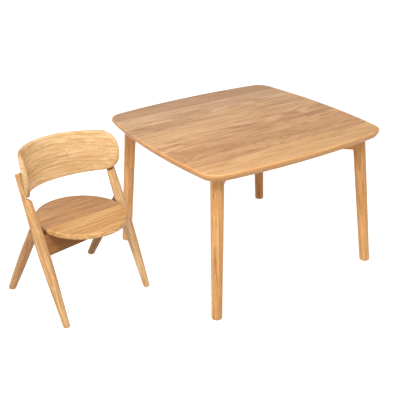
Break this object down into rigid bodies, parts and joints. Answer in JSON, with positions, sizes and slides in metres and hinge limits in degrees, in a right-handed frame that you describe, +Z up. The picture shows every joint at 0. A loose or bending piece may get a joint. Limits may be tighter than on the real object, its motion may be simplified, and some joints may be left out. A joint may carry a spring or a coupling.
{
  "type": "children's table and chair set",
  "caption": "Low square oak children's table on splayed round legs, with a small oak chair whose long front legs run up past its round seat to hold a wide curved backrest.",
  "frame": {"origin": "on the floor, in the middle of the footprint of the whole set as it stands", "axes": "+Z up; -Y is the front of the table and the way the chair faces, give or take its small turn; +X runs from the chair to the table, parallel to the tabletop's staves"},
  "size_m": [1.1342, 0.6998, 0.5111],
  "materials": {
    "oak_tabletop": "oiled oak, satin",
    "oak_table_frame": "oiled oak, satin",
    "oak_chair": "oiled oak, satin",
    "oak_backrest": "oiled oak, satin",
    "oak_seat_light": "oiled oak, satin",
    "oak_seat_dark": "oiled oak, satin",
    "beech_dowel": "bare beech",
    "zinc_steel": "zinc plated"
  },
  "bodies": {
    "table": {"tabletop_stave_1": "oak_tabletop", "tabletop_stave_2": "oak_tabletop", "tabletop_stave_3": "oak_tabletop", "tabletop_stave_4": "oak_tabletop", "tabletop_stave_5": "oak_tabletop", "tabletop_stave_6": "oak_tabletop", "tabletop_stave_7": "oak_tabletop", "table_cross_rail_a": "oak_table_frame", "table_cross_rail_b": "oak_table_frame", "table_leg_front_left": "oak_table_frame", "table_leg_front_right": "oak_table_frame", "table_leg_rear_left": "oak_table_frame", "table_leg_rear_right": "oak_table_frame", "table_leg_bolts": "zinc_steel", "table_barrel_nuts": "zinc_steel", "tabletop_screws": "zinc_steel"},
    "chair": {"chair_front_leg_left": "oak_chair", "chair_front_leg_right": "oak_chair", "chair_rear_leg_left": "oak_chair", "chair_rear_leg_right": "oak_chair", "chair_backrest": "oak_backrest", "chair_front_rail": "oak_chair", "chair_rear_rail": "oak_chair", "chair_seat_front_board": "oak_seat_light", "chair_seat_rear_board": "oak_seat_dark", "chair_leg_dowels": "beech_dowel", "chair_rail_dowels": "beech_dowel", "chair_backrest_dowels": "beech_dowel", "chair_seat_screws": "zinc_steel"}
  },
  "joints": [
    {"name": "chair_slide", "type": "slide", "parent": "table", "child": "chair", "axis": [0.2045, -0.9789, 0], "range_m": [-0.4, 0.15]}
  ]
}
